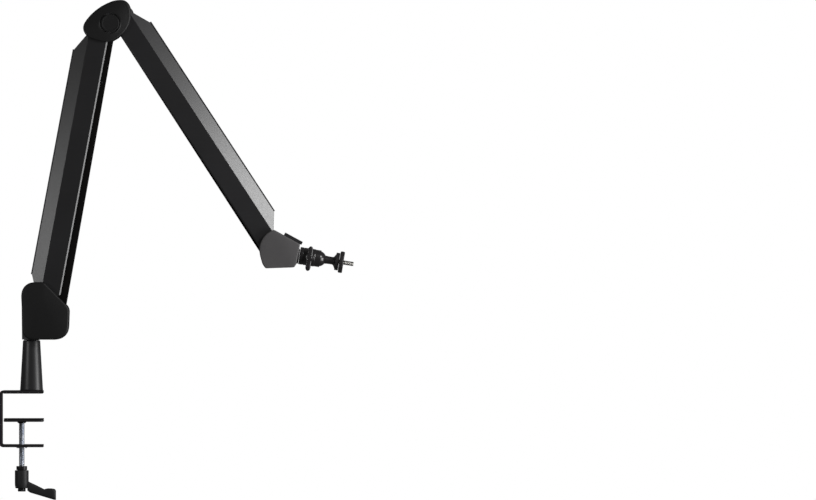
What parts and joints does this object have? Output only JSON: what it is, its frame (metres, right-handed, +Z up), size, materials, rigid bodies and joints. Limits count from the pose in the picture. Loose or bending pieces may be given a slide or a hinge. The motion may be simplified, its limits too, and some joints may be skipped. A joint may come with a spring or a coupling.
{
  "type": "microphone boom arm",
  "caption": "Black spring-balanced boom arm with desk clamp, swivel base, two parallelogram arms with cable troughs, and a ball mount with a threaded stud.",
  "frame": {"origin": "desk face of the clamp's top jaw, under the axis of the post", "axes": "+X along the arm's reach, +Y to the rear, +Z up"},
  "size_m": [0.4722, 0.0521, 0.6667],
  "materials": {
    "clamp_steel": "black powder coat, fine texture",
    "rubber_pad": "matt black rubber sheet",
    "zinc_screw": "blue-white zinc plate",
    "lever_plastic": "black glass-filled nylon",
    "lever_steel": "black oxide",
    "post_metal": "satin black",
    "nylon": "black nylon",
    "knuckle_casting": "black powder coat",
    "pivot_steel": "black oxide",
    "cover_plastic": "fine-grained black plastic",
    "head_casting": "dark grey powder coat",
    "head_plastic": "fine-grained dark grey plastic",
    "arm_aluminium": "satin black anodising",
    "trough_cover_aluminium": "satin black anodising",
    "link_aluminium": "matt black",
    "spring_steel": "oiled steel wire",
    "mount_black": "gloss black",
    "stud_steel": "plain steel thread"
  },
  "bodies": {
    "clamp": {"clamp_frame": "clamp_steel", "top_jaw_pad": "rubber_pad", "clamp_nut": "zinc_screw", "base_post": "post_metal", "post_screw": "zinc_screw", "post_bushing": "nylon"},
    "pressure_jaw": {"pressure_plate": "clamp_steel", "pressure_pad": "rubber_pad", "screw_retainer": "clamp_steel"},
    "screw": {"clamp_screw": "zinc_screw", "lever_insert": "lever_steel", "lever_screw": "lever_steel", "lever_spring": "zinc_screw"},
    "lever": {"clamp_lever": "lever_plastic"},
    "knuckle": {"base_knuckle": "knuckle_casting", "swivel_spigot": "pivot_steel", "thrust_washer": "nylon", "base_cover_front": "cover_plastic", "base_cover_rear": "cover_plastic", "base_pivot_bolt": "pivot_steel", "base_pivot_nut": "pivot_steel", "base_link_pin": "pivot_steel", "base_washer_front": "nylon", "base_washer_rear": "nylon"},
    "lower_arm": {"lower_arm_channel": "arm_aluminium", "lower_spring_pin": "pivot_steel", "lower_spring": "spring_steel"},
    "lower_link": {"lower_link": "link_aluminium", "lower_link_spring_pin": "pivot_steel"},
    "lower_cover": {"lower_trough_cover": "trough_cover_aluminium"},
    "elbow": {"elbow_frame": "knuckle_casting", "elbow_cover_front": "cover_plastic", "elbow_cover_rear": "cover_plastic", "elbow_cap": "cover_plastic", "elbow_lower_bolt": "pivot_steel", "elbow_lower_nut": "pivot_steel", "elbow_upper_bolt": "pivot_steel", "elbow_upper_nut": "pivot_steel", "elbow_lower_link_pin": "pivot_steel", "elbow_upper_link_pin": "pivot_steel"},
    "upper_arm": {"upper_arm_channel": "arm_aluminium", "upper_spring_pin": "pivot_steel", "upper_spring": "spring_steel"},
    "upper_link": {"upper_link": "link_aluminium", "upper_link_spring_pin": "pivot_steel"},
    "upper_cover": {"upper_trough_cover": "trough_cover_aluminium"},
    "head": {"head_block": "head_casting", "head_cover_front": "head_plastic", "head_cover_rear": "head_plastic", "head_pivot_bolt": "pivot_steel", "head_pivot_nut": "pivot_steel", "head_link_pin": "pivot_steel", "ball_socket": "mount_black"},
    "head_lid": {"head_trough_lid": "trough_cover_aluminium"},
    "wing_screw": {"wing_screw": "mount_black"},
    "ball": {"mount_ball": "mount_black"},
    "stem": {"mount_stem": "mount_black", "mic_stud": "stud_steel"},
    "lock_disc": {"lock_disc": "mount_black"}
  },
  "joints": [
    {"name": "jaw_slide", "type": "slide", "parent": "clamp", "child": "pressure_jaw", "axis": [0, 0, 1], "range_m": [-0.0262, 0.0235]},
    {"name": "clamp_screw_turn", "type": "hinge", "parent": "pressure_jaw", "child": "screw", "pos_m": [-0.0131, 0, -0.07], "axis": [0, 0, 1], "range_deg": [-7560, 6782]},
    {"name": "lever_lift", "type": "slide", "parent": "screw", "child": "lever", "axis": [0, 0, -1], "range_m": [0, 0.004], "stiffness_N_per_m": 300, "springref_m": -0.004, "deforming": ["lever_spring"]},
    {"name": "base_swivel", "type": "hinge", "parent": "clamp", "child": "knuckle", "pos_m": [0, 0, 0.0714], "axis": [0, 0, 1], "continuous": true},
    {"name": "lower_arm_pitch", "type": "hinge", "parent": "knuckle", "child": "lower_arm", "pos_m": [0.0179, 0, 0.1234], "axis": [0, 1, 0], "range_deg": [-10.5, 62.5], "deforming": ["lower_spring"]},
    {"name": "lower_link_pitch", "type": "hinge", "parent": "knuckle", "child": "lower_link", "pos_m": [0.03695, 0, 0.1124], "axis": [0, 1, 0], "range_deg": [-10.5, 62.5]},
    {"name": "elbow_level", "type": "hinge", "parent": "lower_arm", "child": "elbow", "pos_m": [0.08564, 0, 0.48715], "axis": [0, 1, 0], "range_deg": [-62.5, 10.5]},
    {"name": "upper_arm_pitch", "type": "hinge", "parent": "elbow", "child": "upper_arm", "pos_m": [0.12394, 0, 0.50475], "axis": [0, 1, 0], "range_deg": [-66, 15], "deforming": ["upper_spring"]},
    {"name": "upper_link_pitch", "type": "hinge", "parent": "elbow", "child": "upper_link", "pos_m": [0.11534, 0, 0.49245], "axis": [0, 1, 0], "range_deg": [-66, 15]},
    {"name": "head_level", "type": "hinge", "parent": "upper_arm", "child": "head", "pos_m": [0.32654, 0, 0.19514], "axis": [0, 1, 0], "range_deg": [-15, 66]},
    {"name": "lower_cover_lift", "type": "slide", "parent": "lower_arm", "child": "lower_cover", "axis": [-0.9831, 0, 0.1831], "range_m": [0, 0.03]},
    {"name": "upper_cover_lift", "type": "slide", "parent": "upper_arm", "child": "upper_cover", "axis": [0.8368, 0, 0.5476], "range_m": [0, 0.03]},
    {"name": "head_lid_lift", "type": "slide", "parent": "head", "child": "head_lid", "axis": [0.4764, 0, 0.8792], "range_m": [0, 0.02]},
    {"name": "wing_screw_turn", "type": "hinge", "parent": "head", "child": "wing_screw", "pos_m": [0.37072, 0, 0.18176], "axis": [0, 1, 0], "range_deg": [-35, 35]},
    {"name": "ball_turn", "type": "hinge", "parent": "head", "child": "ball", "pos_m": [0.38248, 0, 0.1799], "axis": [0.9877, 0, -0.1564], "continuous": true},
    {"name": "ball_tilt", "type": "hinge", "parent": "ball", "child": "stem", "pos_m": [0.38248, 0, 0.1799], "axis": [0, 1, 0], "range_deg": [-40, 40]},
    {"name": "lock_disc_turn", "type": "hinge", "parent": "stem", "child": "lock_disc", "pos_m": [0.4129, 0, 0.17508], "axis": [0.9877, 0, -0.1564], "continuous": true}
  ],
  "couplings": [
    {"joint": "clamp_screw_turn", "follows": "jaw_slide", "rad_per_m": 5026.5},
    {"joint": "lower_link_pitch", "follows": "lower_arm_pitch", "ratio": 1},
    {"joint": "elbow_level", "follows": "lower_arm_pitch", "ratio": -1},
    {"joint": "upper_link_pitch", "follows": "upper_arm_pitch", "ratio": 1},
    {"joint": "head_level", "follows": "upper_arm_pitch", "ratio": -1}
  ]
}
